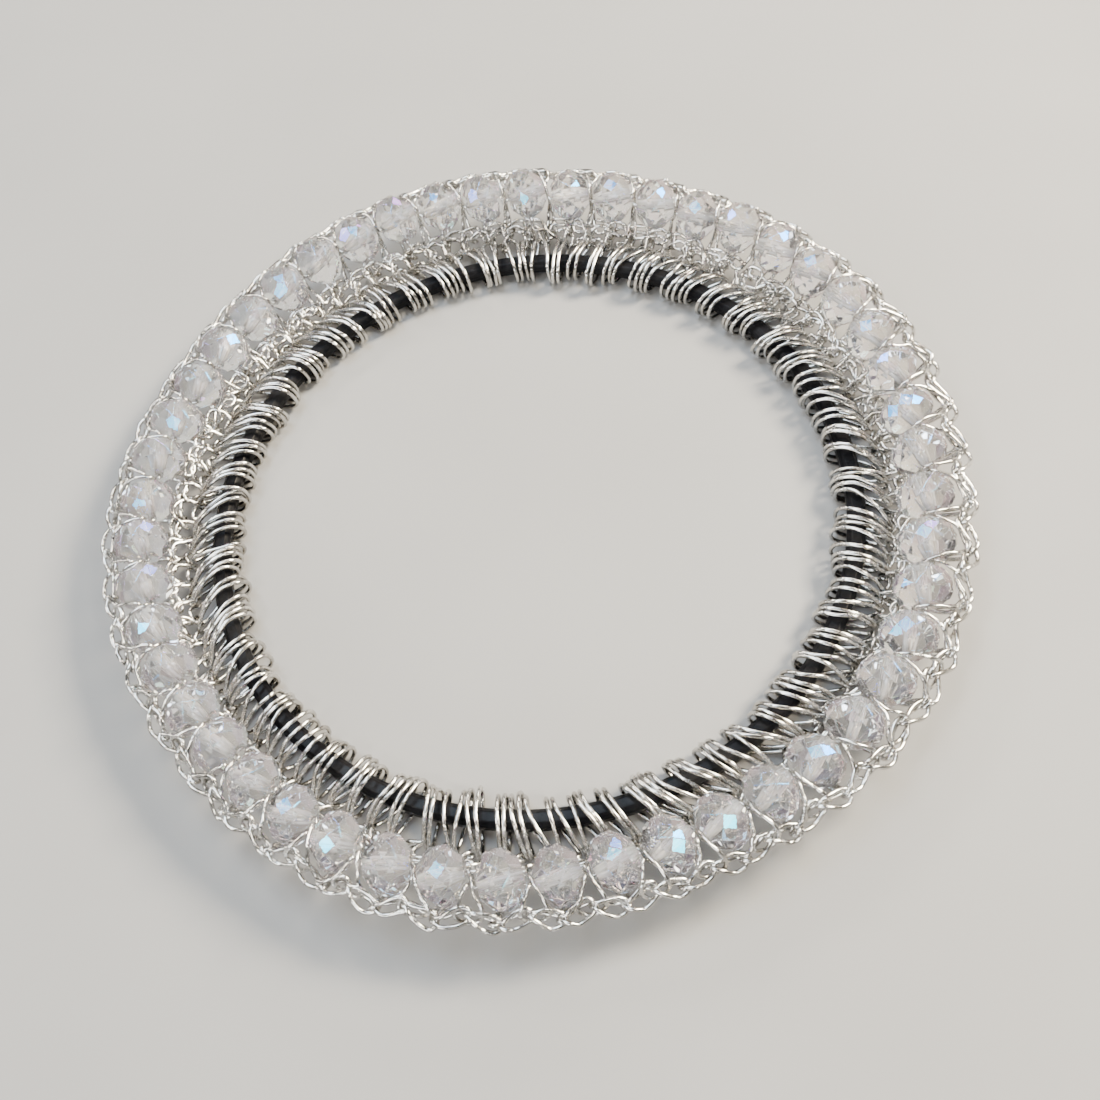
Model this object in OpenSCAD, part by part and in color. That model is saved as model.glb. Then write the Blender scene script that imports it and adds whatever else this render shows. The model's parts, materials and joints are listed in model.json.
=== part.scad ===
// Crocheted wire bangle: a rigid black hoop, wire rounds worked over it and a
// ring of faceted crystal beads that spin on the wire. +Z is up, the bangle lies
// on z = 0 and its axis is the Z axis. All sizes are in millimetres.

/* [Hoop] */
// Inside diameter of the hoop
hoop_inner_d = 68; // [62:0.5:72]
// Width of the hoop's section, measured outward
hoop_w = 2; // [1.8:0.1:2.2]
// Height of the hoop's section
hoop_h = 2; // [1.8:0.1:2.1]
// Bevel along the hoop's four edges
hoop_bevel = 0.5; // [0.3:0.1:0.7]

/* [Wire] */
// Diameter of the wire
wire_d = 0.38; // [0.3:0.01:0.42]
// Flats around the wire
wire_sides = 5; // [4:1:6]
// Number of wire loops worked over the hoop
stitch_count = 80; // [60:1:84]

/* [Beads] */
// Number of beads around the bangle
bead_count = 49; // [36:1:49]
// Diameter of a bead over its girdle
bead_d = 6; // [5:0.1:6]
// Length of a bead along its hole
bead_len = 4.4; // [4:0.1:4.4]
// Diameter of the hole through a bead
bead_hole_d = 1; // [0.8:0.05:1.2]
// Facets around a bead
bead_facets = 10; // [6:1:10]
// Distance of the bead ring outside the middle of the hoop's section
bead_out = 6.8; // [6.8:0.1:7.4]
// Height of the bead ring above the middle of the hoop's section
bead_rise = 5; // [5:0.1:5.6]
// How far the bead ring waves in and out
bead_wave = 0.45; // [0:0.05:0.45]
// Uneven height of single beads
bead_lift = 0.2; // [0:0.05:0.2]
// Slant of the beads' holes across the ring, in degrees
bead_slant = 18; // [0:1:18]
// Uneven tilt of single beads, in degrees
bead_tilt = 3; // [0:0.5:3]
// Extra closeness of the beads where they crowd together, in degrees
bead_crowd = 0.4; // [0:0.1:0.4]

/* [Edging] */
// Distance of the edging outside the middle of the hoop's section
edging_out = 11.35; // [11.3:0.05:12]
// Height of the edging above the middle of the hoop's section
edging_rise = 4.9; // [4.6:0.1:5.2]
// Half width of an edging link
edging_half_w = 0.65; // [0.4:0.05:0.7]
// Downward slope of the edging links, in degrees
edging_slope = 35; // [20:5:40]

/* [Hidden] */
wire_r = wire_d / 2;
hoop_r = hoop_inner_d / 2 + hoop_w / 2;

// One wire loop around the hoop's section, as [outward, up] from its middle
loop_inside = hoop_w / 2 + 1.05;
loop_outside = hoop_w / 2 + 1.9;
loop_above = hoop_h / 2 + 0.75;
loop_below = hoop_h / 2 + 0.45;
loop_outline = [
    [-loop_inside, 0],
    [-hoop_w / 2 - 0.4, loop_above - 0.6],
    [-0.3, loop_above],
    [hoop_w / 2 + 0.6, loop_above],
    [loop_outside, 0.9],
    [loop_outside - 0.55, -0.7],
    [0.6, -loop_below],
    [-hoop_w / 2 - 0.2, 0.2 - loop_below]
];

// The hoop's middle stands just high enough for the loops to touch z = 0
hoop_z = loop_below + wire_r;

// The mesh round hooks inside each loop and swings out towards the beads
mesh_inner = [2.2, 0.65];
mesh_outer = [4.9, 1.9];

// Four points to a wave, so that its crests are flat
wave_steps = 4;

// The bead round swings in an arc under the beads, dips below the mesh round at
// its inner end and hooks between the edging's strands at its outer end
under_gap = 0.75;
under_start = 238;
under_end = 350;
under_dip = 1.15;
under_steps = 8;
hook_out = edging_out - 0.1;
hook_up = edging_rise - 0.05;

// The two edging strands cross without touching
edging_step = 0.26;

// The two cut ends of the wire lie under the mesh
tail_out = 3.9;
tail_up = 0.1;
tail_sweep = 22;
tail_starts = [28, 205];

// The first bead's place, and the five waves of the ring
bead_start = 6.8;
wave_count = 5;
wave_start = 30;
crowd_middle = 178;
crowd_width = 32;

// Steps that spread the beads' unevenness without a visible repeat
lift_step = 137.5;
yaw_step = 97;
pitch_step = 151;

// A bead's outline: half length, radius at the hole's mouth and at the shoulder
half_len = bead_len / 2;
mouth_r = 0.43 * bead_d / 2;
shoulder_r = 0.9 * bead_d / 2;
shoulder_x = 0.52 * half_len;

// Wire left between a bead's mouth and the bend towards the next bead
wire_overrun = 0.28;

silver = "silver";
black = [0.07, 0.07, 0.08];
crystal = [0.86, 0.92, 0.97, 0.6];

function bead_name(i) = str("bead_", i < 10 ? "0" : "", i);

// ---- Points and frames ----------------------------------------------------

function unit(v) = v / norm(v);
function around(az) = [-sin(az), cos(az), 0];
function outward(az) = [cos(az), sin(az), 0];

// The point at an azimuth, at [outward, up] from the middle of the hoop's section
function place(az, out_up) =
    (hoop_r + out_up[0]) * outward(az) + [0, 0, hoop_z + out_up[1]];

// ---- Beads ----------------------------------------------------------------

// Azimuth of bead i, closer together around crowd_middle. Halves lie between beads
function even_az(i) = bead_start + 360 * (i - 1) / bead_count;
function crowding(az) =
    let (away = (((az - crowd_middle) % 360 + 540) % 360 - 180) / crowd_width)
    bead_crowd * away * exp((1 - away * away) / 2);
function bead_az(i) = even_az(i) - crowding(even_az(i));

// The bead ring's line, as [outward, up], which waves in and out
function ring_line(az) =
    [bead_out + bead_wave * cos(wave_count * (az - wave_start)), bead_rise];
function bead_middle(i) =
    place(bead_az(i), ring_line(bead_az(i)) + [0, bead_lift * sin(i * lift_step)]);
function bead_yaw(i) = bead_az(i) + 90 + bead_slant + bead_tilt * sin(i * yaw_step);
function bead_pitch(i) = bead_tilt * sin(i * pitch_step);
function bead_axis(i) =
    [cos(bead_pitch(i)) * cos(bead_yaw(i)), cos(bead_pitch(i)) * sin(bead_yaw(i)),
     sin(bead_pitch(i))];

// The corners of a bead at x = 0 and beyond, facet by facet
function bead_ring(x, r, turn) =
    [for (k = [0 : bead_facets - 1])
        let (a = 360 * (k + turn) / bead_facets) [x, r * cos(a), r * sin(a)]];
function bead_corners() = concat(
    bead_ring(0, bead_d / 2, 0),
    [for (s = [-1, 1]) each bead_ring(s * shoulder_x, shoulder_r, 0.5)],
    [for (s = [-1, 1]) each bead_ring(s * half_len, mouth_r, 0.5)]
);

// A bead lies along X, with its hole on the axis
module faceted_bead() {
    difference() {
        hull() polyhedron(points = bead_corners(), faces = [[for (k = [0 : len(bead_corners()) - 1]) k]]);
        rotate([0, 90, 0]) cylinder(d = bead_hole_d, h = 2 * bead_len, center = true, $fn = 32);
    }
}

module bead(i) {
    color(crystal)
        translate(bead_middle(i))
            rotate([0, -bead_pitch(i), bead_yaw(i)])
                faceted_bead();
}

// ---- Wire -----------------------------------------------------------------

// A wave that is 1 or -1 at the points halfway between its quarter turns
function flat_wave(p) = sqrt(2) * cos(360 * p);

// A closed wire along a path. sides_of holds a direction across the wire for each point
function wire_points(path, sides_of) =
    [for (k = [0 : len(path) - 1])
        let (
            n = len(path),
            along = unit(path[(k + 1) % n] - path[(k + n - 1) % n]),
            side = unit(cross(sides_of[k], along)),
            top = cross(along, side)
        )
        for (j = [0 : wire_sides - 1])
            let (a = 180 + 360 * j / wire_sides) path[k] + wire_r * (cos(a) * side + sin(a) * top)];
function wire_faces(rings) =
    [for (k = [0 : rings - 1], j = [0 : wire_sides - 1])
        let (
            next_j = (j + 1) % wire_sides,
            here = k * wire_sides,
            there = ((k + 1) % rings) * wire_sides
        )
        each [[here + j, there + j, there + next_j], [here + j, there + next_j, here + next_j]]];
module wire(path, sides_of) {
    color(silver)
        polyhedron(points = wire_points(path, sides_of), faces = wire_faces(len(path)), convexity = 10);
}

// ---- Sub-parts ------------------------------------------------------------

module hoop_core() {
    half_w = hoop_w / 2;
    half_h = hoop_h / 2;
    color(black)
        translate([0, 0, hoop_z])
            rotate_extrude($fn = 180)
                translate([hoop_r, 0])
                    polygon([
                        [-half_w, -half_h + hoop_bevel], [-half_w + hoop_bevel, -half_h],
                        [half_w - hoop_bevel, -half_h], [half_w, -half_h + hoop_bevel],
                        [half_w, half_h - hoop_bevel], [half_w - hoop_bevel, half_h],
                        [-half_w + hoop_bevel, half_h], [-half_w, half_h - hoop_bevel]
                    ]);
}

// The wire winds once around the hoop for each stitch
module foundation_round() {
    corners = len(loop_outline);
    azimuths = [for (i = [0 : stitch_count - 1], k = [0 : corners - 1])
        360 * (i + k / corners) / stitch_count];
    wire(
        [for (m = [0 : len(azimuths) - 1]) place(azimuths[m], loop_outline[m % corners])],
        [for (az = azimuths) around(az)]
    );
}

// A wave that dips inside every loop of the foundation round
module mesh_round() {
    loop_phase = 0.5;
    phases = [for (m = [0 : wave_steps * stitch_count - 1]) (m + 0.5) / wave_steps];
    across = unit(mesh_outer - mesh_inner);
    wire(
        [for (p = phases)
            place(360 * (p + loop_phase) / stitch_count,
                (mesh_inner + mesh_outer) / 2 - flat_wave(p) * (mesh_outer - mesh_inner) / 2)],
        [for (p = phases)
            -across[1] * outward(360 * (p + loop_phase) / stitch_count) + [0, 0, across[0]]]
    );
}

// A wave that passes under each bead and comes up between two beads
module bead_round() {
    arc_r = bead_d / 2 + under_gap;
    arc_end = arc_r * [cos(under_end), sin(under_end)];
    // Azimuth, [outward, up] and direction seen from the bead ring, point by point
    places = [for (m = [0 : bead_count * under_steps - 1])
        let (
            az = bead_az(1 + m / under_steps),
            swing = (1 - cos(360 * m / under_steps)) / 2,
            turn = under_start + swing * (under_end - under_start),
            arc = (arc_r + under_dip * pow(1 - swing, 2)) * [cos(turn), sin(turn)],
            hook = [hook_out, hook_up] - ring_line(az) - arc_end
        )
        [az, ring_line(az) + arc + pow(swing, 4) * hook, turn]];
    wire(
        [for (p = places) place(p[0], p[1])],
        [for (p = places) cos(p[2]) * outward(p[0]) + [0, 0, sin(p[2])]]
    );
}

// The wire that the beads hang on: straight through each bead, with a short step between two beads
module bead_wire() {
    ends = [for (i = [1 : bead_count], s = [-1, 1])
        bead_middle(i) + s * (half_len + wire_overrun) * bead_axis(i)];
    wire(ends, [for (e = ends) [0, 0, 1]]);
}

// One strand of the edging. The two strands swing opposite ways and cross
module edging(way) {
    across = [cos(edging_slope), -sin(edging_slope)];
    above = [sin(edging_slope), cos(edging_slope)];
    phases = [for (m = [0 : wave_steps * bead_count - 1]) (m + 0.5) / wave_steps];
    wire(
        [for (p = phases)
            place(bead_az(1 + p), [edging_out, edging_rise]
                + way * (edging_half_w * flat_wave(p) * across + edging_step * above))],
        [for (p = phases) above[0] * outward(bead_az(1 + p)) + [0, 0, above[1]]]
    );
}
module edging_upper() edging(1);
module edging_lower() edging(-1);

// The two cut ends of the wire, tucked under the mesh
module wire_tails() {
    color(silver)
        for (start = tail_starts)
            translate([0, 0, hoop_z + tail_up])
                rotate([0, 0, start])
                    rotate_extrude(angle = tail_sweep, $fn = 120)
                        translate([hoop_r + tail_out, 0])
                            circle(d = wire_d, $fn = 24);
}

hoop_core();
foundation_round();
mesh_round();
bead_round();
bead_wire();
edging_upper();
edging_lower();
wire_tails();
for (i = [1 : bead_count]) bead(i);
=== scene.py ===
"""The looks of a crocheted wire bangle: a black hoop, silver wire rounds and 49 spinning crystal beads.

Places on the band are given as [outward, up] in millimetres from the middle of the hoop's section, at an
azimuth in degrees. Blender's own units are metres.
"""

import json
import math

import bmesh
import bpy
import numpy as np
from mathutils import Matrix, Vector


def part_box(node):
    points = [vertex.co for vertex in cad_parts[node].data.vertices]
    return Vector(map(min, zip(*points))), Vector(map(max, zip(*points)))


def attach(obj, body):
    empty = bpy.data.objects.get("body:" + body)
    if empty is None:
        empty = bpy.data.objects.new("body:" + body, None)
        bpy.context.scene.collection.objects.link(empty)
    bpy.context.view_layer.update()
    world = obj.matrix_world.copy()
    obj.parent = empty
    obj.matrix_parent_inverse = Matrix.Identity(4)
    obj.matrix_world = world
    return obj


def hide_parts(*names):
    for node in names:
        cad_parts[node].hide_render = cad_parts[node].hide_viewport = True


MM = 0.001
SEED = 11

# The hoop: its bevel and the rounding of its edges, in mm, and the steps around it and around each corner
HOOP_BEVEL = 0.5
EDGE_ROUNDING = 0.09
HOOP_STEPS = 360
CORNER_STEPS = (0, 0.33, 0.67, 1)

# The wire's radius in mm. It is drawn thinner where it is squeezed between two beads, which is where it is
# tabled closer to their line than SQUEEZED
WIRE_R = 0.23
GAP_WIRE_R = 0.16
SQUEEZED = 2.3

# How finely the wire is drawn: the sides of its section, its steps in mm, and the steps of the curve
# between two points of a stitch
WIRE_SIDES = 8
WIRE_STEP = 0.2
CURVE_STEPS = 8

# The wire stays this clear of the turning beads, in mm. It is moved off them this many times over, as a
# move off one bead can bring it closer to the next
BEAD_CLEARANCE = 0.035
BEAD_PASSES = 5

# Only the wire within this many bead radii of a bead's middle is looked at for that bead
NEAR_BEAD = 1.5

# Stitches in the foundation and in each row of the mesh
STITCHES = 98

# The body that the hoop and all of the wire ride on
BAND = "band"

# The bead's facets: how many around, how far inside the bead's radius the belt's facets lie and the belt's
# half width, in mm, and the tilt of the kites beside the belt and of the long facets at the ends
FACETS = 10
BELT_INSET = 0.14
BELT_HALF = 0.86
KITE_TILT = math.radians(18)
END_TILT = math.radians(48)

# The bead's worn edges: how far each one cuts back its facets, in mm, and the area in mm squared that its
# faces stay under
EDGE_WIDTH = 0.05
EDGE_AREA = 0.16

# The sides of the bead's drilled hole, and how far out its wall's faces may lie, in radii of the hole
BORE_SIDES = 28
BORE_WALL = 1.02

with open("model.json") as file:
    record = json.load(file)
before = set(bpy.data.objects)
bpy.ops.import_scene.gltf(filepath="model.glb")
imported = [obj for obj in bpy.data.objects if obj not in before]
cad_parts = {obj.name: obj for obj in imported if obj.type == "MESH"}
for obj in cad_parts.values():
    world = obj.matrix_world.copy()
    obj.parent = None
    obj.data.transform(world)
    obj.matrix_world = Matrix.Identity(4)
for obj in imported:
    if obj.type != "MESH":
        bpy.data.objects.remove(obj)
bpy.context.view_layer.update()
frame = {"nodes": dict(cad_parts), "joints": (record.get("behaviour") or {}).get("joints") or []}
rng = np.random.default_rng(SEED)


# ---- Places, all worked out from the frame ---------------------------------

hoop_low, hoop_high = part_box("hoop_core")
hoop_node = frame["nodes"]["hoop_core"]
hoop_inner_r = min(math.hypot(v.co.x, v.co.y) for v in hoop_node.data.vertices) / MM
hoop_outer_r = hoop_high.x / MM
hoop_w = hoop_outer_r - hoop_inner_r
hoop_h = (hoop_high.z - hoop_low.z) / MM
hoop_r = (hoop_outer_r + hoop_inner_r) / 2
hoop_z = (hoop_high.z + hoop_low.z) / 2 / MM

spins = sorted(frame["joints"], key=lambda joint: joint["name"])
bead_names = [joint["child"] for joint in spins]
bead_middles = [Vector(joint["pos_m"]) for joint in spins]
bead_axes = [Vector(joint["axis"]).normalized() for joint in spins]
bead_count = len(spins)
bead_az = np.degrees(np.unwrap([math.atan2(p.y, p.x) for p in bead_middles]))
bead_out = np.array([math.hypot(p.x, p.y) / MM - hoop_r for p in bead_middles])
bead_up = np.array([p.z / MM - hoop_z for p in bead_middles])

bead_radius = 0
bead_half = 0
bore_radius = math.inf
for vertex in frame["nodes"][bead_names[0]].data.vertices:
    offset = vertex.co - bead_middles[0]
    along = offset.dot(bead_axes[0])
    from_axis = (offset - along * bead_axes[0]).length
    bead_half = max(bead_half, abs(along) / MM)
    bead_radius = max(bead_radius, from_axis / MM)
    bore_radius = min(bore_radius, from_axis / MM)
belt_radius = bead_radius - BELT_INSET
end_distance = belt_radius * math.cos(END_TILT) + BELT_HALF * math.sin(END_TILT)

edging_low, edging_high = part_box("edging_lower")
edging_up = (edging_low.z + edging_high.z) / 2 / MM - hoop_z


def place(az, out, up):
    """Points in metres for arrays of azimuth, outward and up."""
    a = np.radians(az)
    r = hoop_r + np.asarray(out)
    return np.stack([r * np.cos(a), r * np.sin(a), hoop_z + np.asarray(up)], -1) * MM


def along_beads(position, values, lap=0.0):
    """A bead-by-bead value at any position along the ring, where position 0 is the first bead."""
    laps, k = np.divmod(position, bead_count)
    row = np.append(values, values[0] + lap)
    return np.interp(k, np.arange(bead_count + 1), row) + laps * lap


# ---- Wire -------------------------------------------------------------------

def smooth(points):
    """A closed Catmull-Rom curve through the points, resampled to even steps of the wire.

    The first three columns are the place, and a fourth one may hold the wire's radius.
    """
    p = np.asarray(points)
    q = np.concatenate([p[-1:], p, p[:2]])
    t = np.linspace(0, 1, CURVE_STEPS, endpoint=False)[:, None]
    runs = []
    for a, b, c, d in zip(q, q[1:], q[2:], q[3:]):
        runs.append(0.5 * (2 * b + (c - a) * t + (2 * a - 5 * b + 4 * c - d) * t ** 2
                           + (3 * b - a - 3 * c + d) * t ** 3))
    fine = np.concatenate(runs + [p[:1]])
    length = np.concatenate([[0], np.cumsum(np.linalg.norm(np.diff(fine[:, :3], axis=0), axis=1))])
    count = int(length[-1] / (WIRE_STEP * MM))
    even = np.linspace(0, length[-1], count, endpoint=False)
    return np.stack([np.interp(even, length, column) for column in fine.T], -1)


def pushed(points, coordinates, directions, planes, room):
    """Moves the points that lie inside a convex section straight out through its nearest side."""
    depths = np.stack([a * coordinates[0] + b * coordinates[1] - c for a, b, c in planes], 1)
    side = depths.argmax(1)
    push = np.maximum(room - depths[np.arange(len(points)), side], 0) * MM
    normal = np.array([(a, b) for a, b, _ in planes])[side]
    return points + push[:, None] * (normal[:, :1] * directions[0] + normal[:, 1:] * directions[1])


def off_beads(line, radius):
    """Lays a wire over the outlines of the turning beads instead of through them."""
    # The ridges between the end facets sweep out a cone just outside the facets
    ridge = np.array([math.sin(END_TILT), math.cos(END_TILT) * math.cos(math.pi / FACETS), end_distance])
    ridge /= np.linalg.norm(ridge[:2])
    planes = [(0, 1, bead_radius), (1, 0, bead_half), tuple(ridge)]
    for _ in range(BEAD_PASSES):
        for middle, axis in zip(np.array(bead_middles), np.array(bead_axes)):
            near = np.abs(line - middle).max(1) < NEAR_BEAD * bead_radius * MM
            offset = line[near] - middle
            along = offset @ axis
            radial = offset - along[:, None] * axis
            reach = np.maximum(np.linalg.norm(radial, axis=1), 1e-9)
            directions = (np.sign(along)[:, None] * axis, radial / reach[:, None])
            line[near] = pushed(line[near], (np.abs(along) / MM, reach / MM), directions, planes,
                                radius[near] + BEAD_CLEARANCE)
    return line


def off_hoop(line, radius):
    """Lays a wire around the hoop instead of through it, and on the floor instead of under it."""
    slant = math.sqrt(0.5)
    planes = [(1, 0, hoop_w / 2), (0, 1, hoop_h / 2),
              (slant, slant, slant * (hoop_w / 2 + hoop_h / 2 - HOOP_BEVEL))]
    reach = np.hypot(line[:, 0], line[:, 1])
    out = reach / MM - hoop_r
    up = line[:, 2] / MM - hoop_z
    outward = np.stack([line[:, 0], line[:, 1], 0 * reach], 1) / reach[:, None]
    upward = np.tile([0.0, 0.0, 1.0], (len(line), 1))
    directions = (np.sign(out)[:, None] * outward, np.sign(up)[:, None] * upward)
    line = pushed(line, (np.abs(out), np.abs(up)), directions, planes, radius)
    line[:, 2] = np.maximum(line[:, 2], radius * MM)
    return line


def laid(points, radii=WIRE_R):
    """A smooth closed wire through [azimuth, outward, up] points that keeps off the beads and the hoop.

    It is given as its middle line and its radius at each step.
    """
    az, out, up = np.array(points).T
    wire = smooth(np.column_stack([place(az, out, up), np.broadcast_to(radii, az.shape)]))
    line, radius = wire[:, :3], wire[:, 3]
    return off_beads(off_hoop(line, radius), radius), radius


# The wire's section starts square to this direction, which none of the wires start along
ANY_DIRECTION = (0.3, 0.5, 0.8)


def sweep(line, radius):
    """Vertices and faces of a round wire along a closed line, turning as little as it can."""
    n = len(line)
    tangents = np.roll(line, -1, 0) - np.roll(line, 1, 0)
    tangents /= np.linalg.norm(tangents, axis=1)[:, None]
    side = np.cross(tangents[0], ANY_DIRECTION)
    side /= np.linalg.norm(side)
    frames = np.empty((n, 3))
    for k in range(n):
        side = side - (side @ tangents[k]) * tangents[k]
        side /= np.linalg.norm(side)
        frames[k] = side
    last = frames[-1] - (frames[-1] @ tangents[0]) * tangents[0]
    twist = math.atan2(np.cross(last, frames[0]) @ tangents[0], last @ frames[0])
    turn = np.linspace(0, twist, n, endpoint=False)
    tops = np.cross(tangents, frames)
    angles = turn[:, None] + np.linspace(0, 2 * math.pi, WIRE_SIDES, endpoint=False)[None, :]
    rings = line[:, None, :] + radius[:, None, None] * MM * (
        np.cos(angles)[..., None] * frames[:, None, :] + np.sin(angles)[..., None] * tops[:, None, :])
    k = np.arange(n)
    j = np.arange(WIRE_SIDES)
    ring, next_ring = k[:, None] * WIRE_SIDES, (k[:, None] + 1) % n * WIRE_SIDES
    corner, next_corner = j[None, :], (j[None, :] + 1) % WIRE_SIDES
    faces = [ring + corner, ring + next_corner, next_ring + next_corner, next_ring + corner]
    return rings.reshape(-1, 3), np.stack(faces, -1).reshape(-1, 4).tolist()


def mesh_object(name, verts, faces, material, is_smooth=True):
    """A piece of one material, linked into the scene."""
    mesh = bpy.data.meshes.new(name)
    mesh.from_pydata([tuple(v) for v in verts], [], faces)
    mesh.update()
    if is_smooth:
        mesh.shade_smooth()
    mesh.materials.append(material)
    piece = bpy.data.objects.new(name, mesh)
    bpy.context.scene.collection.objects.link(piece)
    return piece


def wire_piece(name, wires, material, nodes):
    """One piece, made of a closed wire or several, that stands for CAD nodes."""
    verts, faces = [], []
    for line, radius in wires:
        v, f = sweep(line, radius)
        start = sum(len(x) for x in verts)
        verts.append(v)
        faces += [[start + i for i in face] for face in f]
    piece = mesh_object(name, np.concatenate(verts), faces, material)
    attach(piece, BAND)
    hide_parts(*nodes)


def wobble(size):
    """A seeded unevenness, positive or negative, of about this size."""
    return float(rng.normal(0, size))


# ---- Foundation round: loops over the hoop --------------------------------

# How far a loop's outer end leans along the hoop, in mm at azimuths around it. Its inner end leans half as
# far the other way
LEAN = [(0, -1.8), (60, -1.6), (95, 1.7), (180, 2.0), (235, -0.8), (270, 1.9), (300, 1.9), (325, 0.6)]

# Strands lie over the hoop in groups: the sizes of a group, and how much of its even spacing it keeps
GROUPS = (2, 3, 3, 4, 5)
GROUP_SPACING = 0.68


def around(table, az):
    """A value at an azimuth, from a table of azimuths and values that closes on itself."""
    places = [a for a, _ in table] + [360 + table[0][0]]
    values = [v for _, v in table] + [table[0][1]]
    return float(np.interp(az % 360, places, values))


def grouped_strands(count):
    """Places for an even row of strands, drawn together into groups with gaps between them."""
    places = []
    while len(places) < count:
        size = min(int(rng.choice(GROUPS)), count - len(places))
        first = len(places)
        middle = first + (size - 1) / 2 + wobble(0.15)
        places += [middle + GROUP_SPACING * (first + k + wobble(0.1) - middle) for k in range(size)]
    return places


def foundation_line():
    """One wire, stitch by stitch: under the hoop, up inside it, over it, and back the same way."""
    points = []
    stitch_mm = hoop_r * math.radians(360 / STITCHES)
    strands = grouped_strands(2 * STITCHES)
    for i in range(STITCHES):
        first = strands[2 * i] / 2 - i
        second = strands[2 * i + 1] / 2 - i
        az0 = 360 * i / STITCHES
        lean = (around(LEAN, az0) + wobble(0.35)) / stitch_mm
        foot = 0.25 + lean
        proud = hoop_w / 2 + 1.15 + wobble(0.22)
        twin_proud = proud + wobble(0.15)
        top = hoop_h / 2 + 0.75 + abs(wobble(0.35))
        under = -hoop_h / 2 - 0.45
        twin_top = top + wobble(0.15)
        stitch = [
            (foot - 0.25, 3.4, -0.85),
            (0.5 * (foot + first) - 0.1, 2.0, 0.9 * under),
            (first - 0.1 * lean - 0.05, 0.2, under),
            (first - 0.4 * lean - 0.03, -0.78 * proud, 0.7 * under),
            (first - 0.5 * lean - 0.01, -proud, 0.0),
            (first - 0.4 * lean, -0.78 * proud, 0.7 * top),
            (first - 0.1 * lean + 0.02, -0.2, top),
            (0.55 * first + 0.45 * foot - 0.04, 1.6, 0.9 * top),
            (0.15 * first + 0.85 * foot - 0.08, 2.9, 0.75),
            (foot - 0.06, 3.5, -0.1),
            (foot, 3.75, -0.55),
            (foot + 0.1, 3.55, -0.1),
            (0.15 * second + 0.85 * foot + 0.08, 2.95, 0.8),
            (0.55 * second + 0.45 * foot + 0.04, 1.6, 0.9 * twin_top),
            (second - 0.1 * lean - 0.02, -0.2, twin_top),
            (second - 0.4 * lean, -0.78 * twin_proud, 0.7 * twin_top),
            (second - 0.5 * lean + 0.01, -twin_proud, 0.0),
            (second - 0.4 * lean + 0.03, -0.78 * twin_proud, 0.7 * under),
            (second - 0.1 * lean + 0.05, 0.2, under),
            (0.5 * (foot + second) + 0.1, 2.1, 0.9 * under),
            (foot + 0.2, 3.3, -0.8),
            (foot + 0.3, 3.85, -0.15),
            (foot + 0.55, 4.05, 0.1),
            (foot + 0.85, 3.85, -0.15),
            (foot + 0.75, 3.45, -0.6),
        ]
        for s, out, up in stitch:
            loose = 0.09 if out > 2 else 0.05
            az = az0 + 360 / STITCHES * (s + wobble(0.02))
            points.append((az, out + wobble(loose), up + wobble(loose)))
    return laid(points)


# ---- Mesh round: stitches from the foundation's edge to the beads ----------

# Where the lower and the upper edge of each row of the mesh run
MESH_ROWS = [
    ((3.5, -0.4), (4.8, 0.7)),
    ((4.45, 0.35), (5.45, 1.15)),
]

# A stitch of the mesh as [stitches along, 0 at the low edge to 1 at the high one, mm in front]
MESH_STITCH = [
    (-0.15, 0.90, -0.30),
    (-0.12, 0.30, -0.36),
    (-0.08, -0.22, -0.10),
    (0.02, -0.24, 0.25),
    (0.10, 0.20, 0.48),
    (0.10, 0.75, 0.46),
    (0.16, 1.20, 0.30),
    (0.42, 1.36, 0.24),
    (0.75, 1.28, 0.32),
    (0.96, 1.00, 0.28),
    (0.88, 0.76, 0.00),
    (0.74, 0.84, -0.28),
]


def mesh_line(low, high):
    """A round of two-legged stitches, hooked under the low edge and looped together at the high one."""
    lo, hi = np.array(low), np.array(high)
    rise = hi - lo
    normal = np.array([-rise[1], rise[0]]) / np.linalg.norm(rise)
    points = []
    for i in range(STITCHES):
        centre = i + wobble(0.1)
        lean = wobble(0.25)
        for s, a, n in MESH_STITCH:
            s = s + lean * (a - 0.5) + wobble(0.025)
            out, up = lo + rise * (a + wobble(0.05)) + normal * (n + wobble(0.05))
            points.append((360 * (centre + s) / STITCHES, out, up))
    return laid(points)


# ---- Bead round: strands up through the gaps and under the beads ------------

# How far the middle of the edging's chain stands out from the beads' line, in mm at azimuths around it
REACH = [(0, 4.15), (15, 3.85), (28, 3.25), (48, 3.25), (65, 3.6), (120, 3.6), (200, 3.5), (270, 3.5),
         (320, 3.8)]

# The stitches below are tabled for this reach, and their outer ends follow the chain in and out from it.
# They start to follow at STRETCH_START mm outward from the beads' line, and do so fully 1 mm further out
TABLED_REACH = 3.6
STRETCH_START = 2

# The chain has two links to each bead: one ends beside the bead, and the next beside the gap after it.
# Each has a stitch of the bead round below it
LINKS = 2 * bead_count

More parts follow.
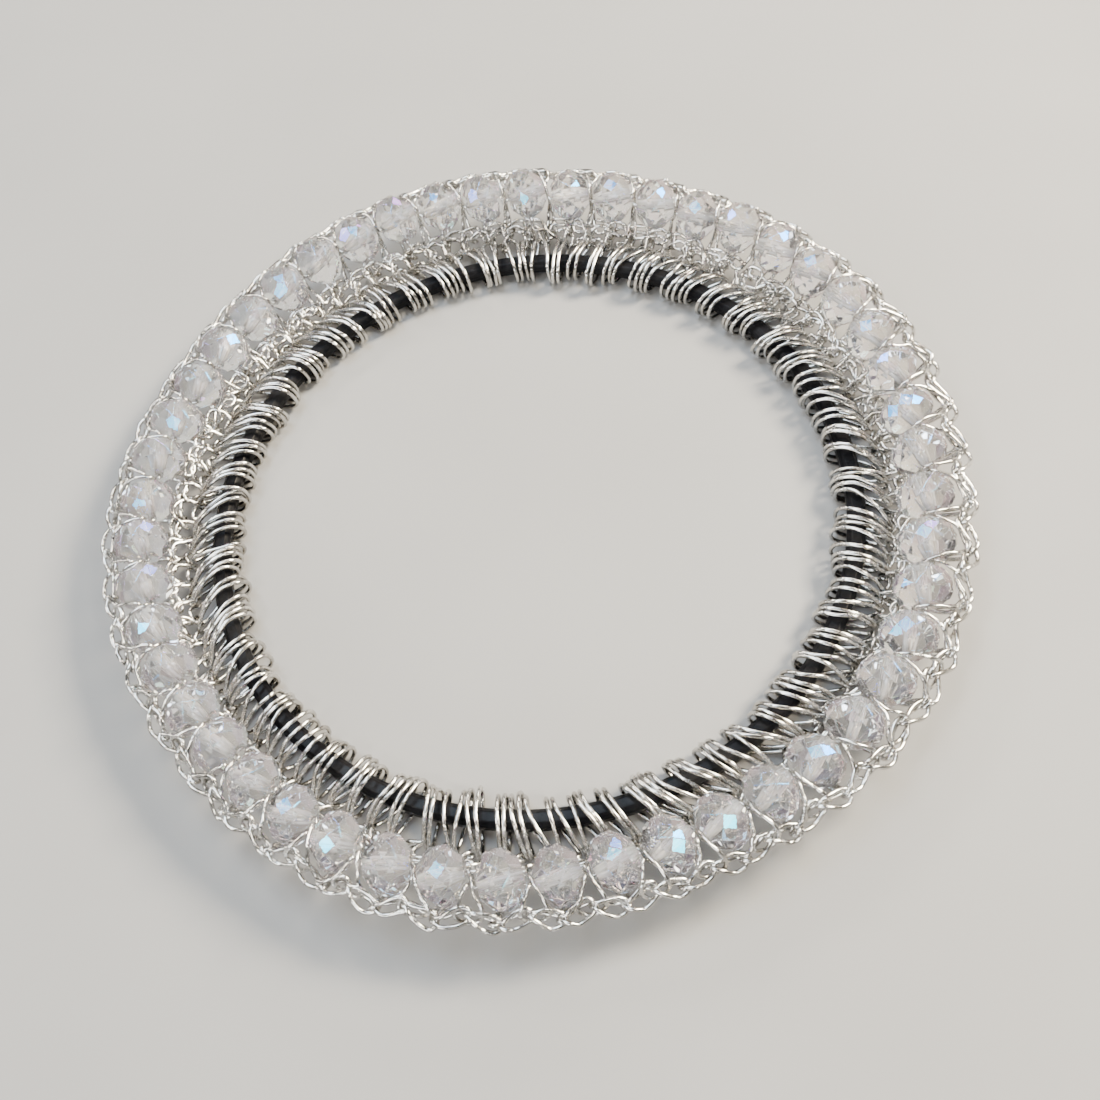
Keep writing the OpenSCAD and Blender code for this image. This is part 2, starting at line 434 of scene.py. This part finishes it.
# A stitch as [beads along, degrees around the beads' line, mm from it]: 0 degrees is outward and 90 is up
GAP_STITCH = [
    (-0.12, 245, 4.50),
    (-0.07, 252, 3.50),
    (-0.03, 262, 2.20),
    (-0.01, 290, 0.90),
    (-0.01, 50, 0.80),
    (-0.05, 54, 1.45),
    (-0.12, 30, 2.10),
    (-0.20, 12, 2.80),
    (-0.25, 358, 3.40),
    (-0.18, 347, 3.85),
    (0.00, 342, 4.05),
    (0.18, 348, 3.80),
    (0.25, 0, 3.35),
    (0.19, 16, 2.75),
    (0.11, 36, 2.05),
    (0.05, 64, 1.40),
    (0.01, 110, 0.80),
    (0.02, 245, 1.00),
    (0.04, 256, 2.40),
    (0.08, 250, 3.60),
    (0.13, 244, 4.45),
    (0.28, 240, 4.60),
]
UNDER_STITCH = [
    (-0.12, 242, 4.35),
    (-0.08, 253, 3.65),
    (-0.05, 275, 3.55),
    (-0.04, 305, 3.60),
    (-0.05, 332, 3.80),
    (-0.06, 348, 4.10),
    (0.00, 354, 4.35),
    (0.06, 350, 4.10),
    (0.06, 330, 3.75),
    (0.05, 303, 3.65),
    (0.05, 275, 3.65),
    (0.08, 253, 3.80),
    (0.13, 243, 4.45),
    (0.28, 240, 4.60),
]


def bead_round_line():
    """One continuous wire that passes under a bead, then comes up through the gap after it, in turn."""
    points = []
    radii = []
    for j in range(LINKS):
        lean = wobble(0.05)
        drop = wobble(2)
        for s, turn, distance in GAP_STITCH if j % 2 else UNDER_STITCH:
            outward = math.cos(math.radians(turn))
            k = j / 2 + s + lean * outward + wobble(0.012)
            az = along_beads(k, bead_az, 360)
            angle = math.radians(turn + drop + wobble(2))
            stretch = min(max(distance * outward - STRETCH_START, 0), 1)
            reach = distance + wobble(0.06) + stretch * (around(REACH, az) - TABLED_REACH)
            points.append((az, along_beads(k, bead_out) + reach * math.cos(angle),
                           along_beads(k, bead_up) + reach * math.sin(angle)))
            radii.append(GAP_WIRE_R if distance < SQUEEZED else WIRE_R)
    return laid(points, radii)


# ---- Edging: a chain of teardrop links --------------------------------------

# The chain lies on a slope down and outward. A link's half width and its thickness are in mm
EDGE_SLOPE = math.radians(35)
LINK_HALF = 0.95
LINK_THICK = 0.4

# How far the chain swings in at a gap and out beside a bead, in mm at azimuths around it
SWING = [(0, 0.75), (50, 0.5), (100, 0.3), (180, 0.4), (235, 0.5), (275, 0.3), (320, 0.45)]

# A link as [links along, across in half widths with outward positive, above in thicknesses]
LINK = [
    (0.00, -0.24, 0.20),
    (0.18, -0.34, 0.90),
    (0.45, -0.70, 0.60),
    (0.75, -0.84, 0.20),
    (1.00, -0.55, 0.00),
    (1.14, 0.00, -0.05),
    (1.06, 0.60, 0.00),
    (0.84, 1.02, 0.15),
    (0.55, 1.10, 0.35),
    (0.25, 0.70, 0.80),
    (0.04, 0.26, 0.30),
    (-0.08, 0.08, -0.80),
    (0.22, -0.05, -1.15),
    (0.62, -0.12, -1.10),
    (0.90, -0.20, -0.60),
]


def edging_line():
    """A crochet chain: each loop comes up through the last one, lies over its head and opens outward."""
    points = []
    for j in range(LINKS):
        rise = wobble(0.1)
        width = LINK_HALF * (1 + wobble(0.1))
        for s, b, n in LINK:
            k = (j + s + wobble(0.02)) / 2
            az = along_beads(k, bead_az, 360)
            swing = around(SWING, az) * math.cos(2 * math.pi * k)
            across = swing + width * (b + wobble(0.05))
            above = LINK_THICK * n + rise * math.sin(math.pi * min(max(s, 0), 1))
            out = (along_beads(k, bead_out) + around(REACH, az)
                   + across * math.cos(EDGE_SLOPE) + above * math.sin(EDGE_SLOPE))
            up = edging_up - across * math.sin(EDGE_SLOPE) + above * math.cos(EDGE_SLOPE)
            points.append((az, out, up))
    return laid(points)


# ---- Bead wire ----------------------------------------------------------------

# How far the wire runs straight on from the mouth of a bead's hole, in mm, and the points along each bead
MOUTH_OVERRUN = 0.26
POINTS_PER_BEAD = 12


def bead_wire_line():
    """Straight through each bead, with a short step across to the next."""
    mouth = bead_half + MOUTH_OVERRUN
    points = []
    for middle, axis in zip(bead_middles, bead_axes):
        points += [np.array(middle + axis * s * MM) for s in np.linspace(-mouth, mouth, POINTS_PER_BEAD)]
    line = smooth(points)
    return line, np.full(len(line), GAP_WIRE_R)


# ---- Beads -------------------------------------------------------------------

def cut(bm, normal, distance):
    """Keeps what lies below a plane, and closes the cut with one flat facet."""
    geometry = bm.verts[:] + bm.edges[:] + bm.faces[:]
    result = bmesh.ops.bisect_plane(bm, geom=geometry, plane_co=normal * distance, plane_no=normal,
                                    clear_outer=True, dist=1e-9)
    edges = [e for e in result["geom_cut"] if isinstance(e, bmesh.types.BMEdge)]
    if edges:
        bmesh.ops.contextual_create(bm, geom=edges)


def facing(tilt, turn):
    """The direction that a facet faces: turned around X, and tilted from square to X towards its end."""
    return Vector((math.sin(tilt), math.cos(tilt) * math.cos(turn), math.cos(tilt) * math.sin(turn)))


def bead_mesh(name, crystal, drilled):
    """A faceted rondelle on X: a belt of lozenges, kites on both sides, and long facets to the hole."""
    bm = bmesh.new()
    bmesh.ops.create_cube(bm, size=4 * bead_radius)
    for k in range(FACETS):
        on = 2 * math.pi * k / FACETS
        between = on + math.pi / FACETS
        cut(bm, facing(0, between), belt_radius)
        for s in (-1, 1):
            cut(bm, facing(s * KITE_TILT, on), bead_radius * math.cos(KITE_TILT))
            cut(bm, facing(s * END_TILT, between), end_distance)
    for s in (-1, 1):
        cut(bm, Vector((s, 0, 0)), bead_half)
    bmesh.ops.remove_doubles(bm, verts=bm.verts, dist=1e-4)
    bmesh.ops.bevel(bm, geom=bm.edges[:], offset=EDGE_WIDTH, segments=1, affect="EDGES", profile=0.5)
    bmesh.ops.recalc_face_normals(bm, faces=bm.faces)
    bmesh.ops.scale(bm, vec=(MM, MM, MM), verts=bm.verts)
    solid = bpy.data.meshes.new(name + "_solid")
    bm.to_mesh(solid)
    bm.free()
    bm = bmesh.new()
    bmesh.ops.create_cone(bm, cap_ends=True, segments=BORE_SIDES, radius1=bore_radius * MM,
                          radius2=bore_radius * MM, depth=4 * bead_half * MM,
                          matrix=Matrix.Rotation(math.pi / 2, 4, "Y"))
    drill = bpy.data.meshes.new(name + "_drill")
    bm.to_mesh(drill)
    bm.free()
    blank = bpy.data.objects.new("blank", solid)
    tool = bpy.data.objects.new("tool", drill)
    for o in (blank, tool):
        bpy.context.scene.collection.objects.link(o)
    boolean = blank.modifiers.new("bore", "BOOLEAN")
    boolean.operation = "DIFFERENCE"
    boolean.solver = "EXACT"
    boolean.object = tool
    bpy.context.view_layer.update()
    evaluated = blank.evaluated_get(bpy.context.evaluated_depsgraph_get())
    mesh = bpy.data.meshes.new_from_object(evaluated)
    mesh.name = name
    for o in (blank, tool):
        bpy.data.objects.remove(o)
    mesh.materials.clear()
    mesh.materials.append(crystal)
    mesh.materials.append(drilled)
    mesh.shade_flat()
    tones = mesh.attributes.new("facet_tone", "FLOAT", "FACE")
    edges = mesh.attributes.new("facet_edge", "FLOAT", "FACE")
    for face in mesh.polygons:
        tones.data[face.index].value = float(rng.random())
        edges.data[face.index].value = float(face.area < EDGE_AREA * MM ** 2)
        reach = math.hypot(face.center.y, face.center.z)
        if reach < BORE_WALL * bore_radius * MM and abs(face.normal.x) < 0.5:
            face.material_index = 1
            face.use_smooth = True
    return mesh


def make_beads(mesh):
    """A bead on every hinge, each turned by a different angle."""
    for name, middle, axis in zip(bead_names, bead_middles, bead_axes):
        bead = bpy.data.objects.new("crystal_" + name, mesh)
        bpy.context.scene.collection.objects.link(bead)
        turn = Vector((1, 0, 0)).rotation_difference(axis).to_matrix().to_4x4()
        spin = Matrix.Rotation(float(rng.uniform(0, 2 * math.pi)), 4, "X")
        bead.matrix_world = Matrix.Translation(middle) @ turn @ spin
        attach(bead, name)
        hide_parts(name)


# ---- Hoop ----------------------------------------------------------------------

def hoop_section():
    """The hoop's bevelled section, with each corner rounded by a short arc."""
    w, h = hoop_w / 2, hoop_h / 2
    flat_w, flat_h = w - HOOP_BEVEL, h - HOOP_BEVEL
    corners = [(-w, -flat_h), (-flat_w, -h), (flat_w, -h), (w, -flat_h),
               (w, flat_h), (flat_w, h), (-flat_w, h), (-w, flat_h)]
    section = []
    for k, corner in enumerate(corners):
        p = Vector(corner)
        before, after = Vector(corners[k - 1]), Vector(corners[(k + 1) % len(corners)])
        a = p + (before - p).normalized() * EDGE_ROUNDING
        b = p + (after - p).normalized() * EDGE_ROUNDING
        for t in CORNER_STEPS:
            section.append((1 - t) ** 2 * a + 2 * t * (1 - t) * p + t ** 2 * b)
    return section


def make_hoop(material):
    """The hoop's section carried around the ring."""
    section = hoop_section()
    n = len(section)
    verts, faces = [], []
    for i in range(HOOP_STEPS):
        az = 360 * i / HOOP_STEPS
        verts += [place(az, p.x, p.y) for p in section]
        for j in range(n):
            k = (i + 1) % HOOP_STEPS
            faces.append([i * n + j, k * n + j, k * n + (j + 1) % n, i * n + (j + 1) % n])
    piece = mesh_object("black_hoop", verts, faces, material)
    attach(piece, BAND)
    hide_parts("hoop_core")


# ---- Materials -----------------------------------------------------------------

CRYSTAL_IOR = 1.72


def new_material(name):
    """A material with its nodes, its links and its shader."""
    material = bpy.data.materials.new(name)
    material.use_nodes = True
    nodes = material.node_tree.nodes
    return material, nodes, material.node_tree.links, nodes["Principled BSDF"]


def noise(nodes, links, scale, detail=3.0, stretch=None):
    """Noise fixed to the object, at a scale per metre."""
    coordinates = nodes.new("ShaderNodeTexCoord")
    texture = nodes.new("ShaderNodeTexNoise")
    texture.inputs["Scale"].default_value = scale
    texture.inputs["Detail"].default_value = detail
    if stretch:
        mapping = nodes.new("ShaderNodeMapping")
        mapping.inputs["Scale"].default_value = stretch
        links.new(coordinates.outputs["Object"], mapping.inputs["Vector"])
        links.new(mapping.outputs["Vector"], texture.inputs["Vector"])
    else:
        links.new(coordinates.outputs["Object"], texture.inputs["Vector"])
    return texture.outputs["Fac"]


def ramp(nodes, links, source, stops):
    """A value turned into a colour, from stops of [value, colour]."""
    node = nodes.new("ShaderNodeValToRGB")
    elements = node.color_ramp.elements
    for element, (at, colour) in zip(elements, stops):
        element.position = at
        element.color = (*colour, 1)
    for at, colour in stops[2:]:
        elements.new(at).color = (*colour, 1)
    links.new(source, node.inputs["Fac"])
    return node.outputs["Color"]


def to_range(nodes, links, source, low, high):
    """Noise, which lies mostly between 0.3 and 0.7, spread between two values."""
    node = nodes.new("ShaderNodeMapRange")
    node.inputs["From Min"].default_value = 0.3
    node.inputs["From Max"].default_value = 0.7
    node.inputs["To Min"].default_value = low
    node.inputs["To Max"].default_value = high
    links.new(source, node.inputs["Value"])
    return node.outputs["Result"]


def bump(nodes, links, source, distance, strength):
    """Relief from a value, at a height in metres."""
    node = nodes.new("ShaderNodeBump")
    node.inputs["Distance"].default_value = distance
    node.inputs["Strength"].default_value = strength
    links.new(source, node.inputs["Height"])
    return node.outputs["Normal"]


def facet_value(nodes, name):
    """A value that the bead's mesh holds for each of its facets."""
    node = nodes.new("ShaderNodeAttribute")
    node.attribute_name = name
    return node.outputs["Fac"]


def silver_wire():
    material, nodes, links, shader = new_material("silver_wire")
    shader.inputs["Metallic"].default_value = 1.0
    tone = noise(nodes, links, 420)
    links.new(ramp(nodes, links, tone, [(0.35, (0.44, 0.42, 0.39)), (0.65, (0.70, 0.685, 0.655))]),
              shader.inputs["Base Color"])
    fine = noise(nodes, links, 1800, 4.0)
    links.new(to_range(nodes, links, fine, 0.14, 0.30), shader.inputs["Roughness"])
    links.new(bump(nodes, links, fine, 0.000006, 0.5), shader.inputs["Normal"])
    return material


def black_gloss():
    material, nodes, links, shader = new_material("black_gloss")
    tone = noise(nodes, links, 160)
    links.new(ramp(nodes, links, tone, [(0.35, (0.004, 0.004, 0.005)), (0.65, (0.012, 0.012, 0.013))]),
              shader.inputs["Base Color"])
    scuffs = noise(nodes, links, 900, 5.0, (1, 1, 6))
    links.new(to_range(nodes, links, scuffs, 0.2, 0.36), shader.inputs["Roughness"])
    links.new(bump(nodes, links, scuffs, 0.00002, 0.6), shader.inputs["Normal"])
    shader.inputs["Specular IOR Level"].default_value = 0.05
    return material


def clear_crystal():
    material, nodes, links, shader = new_material("clear_crystal")
    shader.inputs["Transmission Weight"].default_value = 0.955
    shader.inputs["IOR"].default_value = CRYSTAL_IOR
    tone = facet_value(nodes, "facet_tone")
    links.new(ramp(nodes, links, tone, [(0.0, (0.76, 0.77, 0.81)), (0.3, (0.98, 0.985, 1.0)),
                                        (0.75, (1.0, 0.985, 0.95)), (1.0, (0.92, 0.84, 0.92))]),
              shader.inputs["Base Color"])
    wear = noise(nodes, links, 1500, 4.0)
    frost = nodes.new("ShaderNodeMath")
    frost.operation = "MULTIPLY_ADD"
    links.new(facet_value(nodes, "facet_edge"), frost.inputs[0])
    frost.inputs[1].default_value = 0.22
    links.new(to_range(nodes, links, wear, 0.0, 0.012), frost.inputs[2])
    links.new(frost.outputs["Value"], shader.inputs["Roughness"])
    shader.inputs["Thin Film Thickness"].default_value = 340
    shader.inputs["Thin Film IOR"].default_value = 1.42
    return material


def drilled_crystal():
    """The wall of the hole, scored lengthwise by the drill."""
    material, nodes, links, shader = new_material("drilled_crystal")
    shader.inputs["IOR"].default_value = CRYSTAL_IOR
    scores = noise(nodes, links, 2600, 4.0, (0.08, 1, 1))
    links.new(to_range(nodes, links, scores, 0.5, 1.0), shader.inputs["Transmission Weight"])
    links.new(ramp(nodes, links, scores, [(0.35, (0.80, 0.83, 0.88)), (0.6, (1.0, 0.99, 0.97))]),
              shader.inputs["Base Color"])
    links.new(to_range(nodes, links, scores, 0.04, 0.3), shader.inputs["Roughness"])
    links.new(bump(nodes, links, scores, 0.00008, 1.0), shader.inputs["Normal"])
    return material


def pale_floor():
    material, nodes, links, shader = new_material("pale_floor")
    tone = noise(nodes, links, 30, 2.0)
    links.new(ramp(nodes, links, tone, [(0.3, (0.212, 0.209, 0.205)), (0.7, (0.226, 0.223, 0.219))]),
              shader.inputs["Base Color"])
    shader.inputs["Roughness"].default_value = 0.7
    return material


# ---- Stage: floor, light and camera ---------------------------------------------

def look_from(obj, where, target):
    """Puts a lamp at a place, turned to a target."""
    obj.matrix_world = Matrix.Translation(where) @ (Vector(where) - Vector(target)).to_track_quat(
        "Z", "Y").to_matrix().to_4x4()


def soft_light(name, where, target, size, power, colour):
    light = bpy.data.lights.new(name, "AREA")
    light.shape = "RECTANGLE"
    light.size, light.size_y = size
    light.energy = power
    light.color = colour
    lamp = bpy.data.objects.new(name, light)
    bpy.context.scene.collection.objects.link(lamp)
    look_from(lamp, where, target)


# Half of the floor's side, in metres
FLOOR_HALF = 1.5


def make_stage():
    """The floor, the lights and a plain surrounding that is brighter towards the horizon."""
    corners = [(x * FLOOR_HALF, y * FLOOR_HALF, 0) for x, y in ((-1, -1), (1, -1), (1, 1), (-1, 1))]
    floor = mesh_object("floor", corners, [[0, 1, 2, 3]], pale_floor(), False)
    middle = (0, 0, 0.004)
    soft_light("key", (0.36, 0.10, 0.33), middle, (0.14, 0.14), 12.5, (1.0, 0.88, 0.68))
    soft_light("sky", (-0.08, 0.14, 0.50), middle, (0.26, 0.22), 3.6, (0.72, 0.85, 1.0))
    soft_light("front", (-0.24, -0.42, 0.20), middle, (0.24, 0.08), 1.6, (0.92, 0.96, 1.0))
    soft_light("side", (-0.48, 0.06, 0.22), middle, (0.05, 0.30), 1.4, (1.0, 0.98, 0.94))
    soft_light("back", (0.16, 0.46, 0.30), middle, (0.30, 0.05), 1.6, (1.0, 0.95, 0.86))
    for name, where in (("glint_left", (-0.26, -0.16, 0.42)), ("glint_right", (0.20, -0.24, 0.40)),
                        ("glint_back", (-0.20, 0.36, 0.36))):
        soft_light(name, where, middle, (0.07, 0.07), 1.3, (1.0, 0.96, 0.86))
    world = bpy.data.worlds.new("studio")
    world.use_nodes = True
    nodes, links = world.node_tree.nodes, world.node_tree.links
    height = nodes.new("ShaderNodeSeparateXYZ")
    links.new(nodes.new("ShaderNodeTexCoord").outputs["Generated"], height.inputs["Vector"])
    stops = [(0.0, (0.42, 0.415, 0.40)), (0.10, (0.30, 0.30, 0.295)), (0.45, (0.06, 0.06, 0.065))]
    links.new(ramp(nodes, links, height.outputs["Z"], stops), nodes["Background"].inputs["Color"])
    bpy.context.scene.world = world


# The camera's elevation and roll, and in mm its distance, the point of the hoop's plane that it aims at, and
# its lens
CAMERA_ELEVATION = math.radians(61.4)
CAMERA_ROLL = math.radians(-11.9)
CAMERA_DISTANCE = 142.6
CAMERA_AIM = (0.95, -5.3)
CAMERA_LENS = 42.97


def make_camera():
    """The camera, aimed at a point on the hoop's plane and rolled about its line of sight."""
    camera = bpy.data.objects.new("camera", bpy.data.cameras.new("camera"))
    bpy.context.scene.collection.objects.link(camera)
    camera.data.sensor_width = 36
    camera.data.lens = CAMERA_LENS
    camera.data.clip_start = 0.005
    forward = Vector((0, math.cos(CAMERA_ELEVATION), -math.sin(CAMERA_ELEVATION)))
    across = Vector((1, 0, 0))
    above = across.cross(forward)
    right = math.cos(CAMERA_ROLL) * across + math.sin(CAMERA_ROLL) * above
    top = -math.sin(CAMERA_ROLL) * across + math.cos(CAMERA_ROLL) * above
    aim = Vector((*CAMERA_AIM, hoop_z)) * MM
    turn = Matrix((right, top, -forward)).transposed().to_4x4()
    camera.matrix_world = Matrix.Translation(aim - forward * CAMERA_DISTANCE * MM) @ turn
    bpy.context.scene.camera = camera


# ---- Build ------------------------------------------------------------------------

make_camera()
make_stage()
silver = silver_wire()
make_hoop(black_gloss())
wire_piece("foundation_stitches", [foundation_line()], silver, ["foundation_round"])
wire_piece("mesh_stitches", [mesh_line(*row) for row in MESH_ROWS], silver, ["mesh_round", "wire_tails"])
wire_piece("bead_round_stitches", [bead_round_line()], silver, ["bead_round"])
wire_piece("edging_chain", [edging_line()], silver, ["edging_upper", "edging_lower"])
wire_piece("bead_stringing_wire", [bead_wire_line()], silver, ["bead_wire"])
make_beads(bead_mesh("rondelle", clear_crystal(), drilled_crystal()))
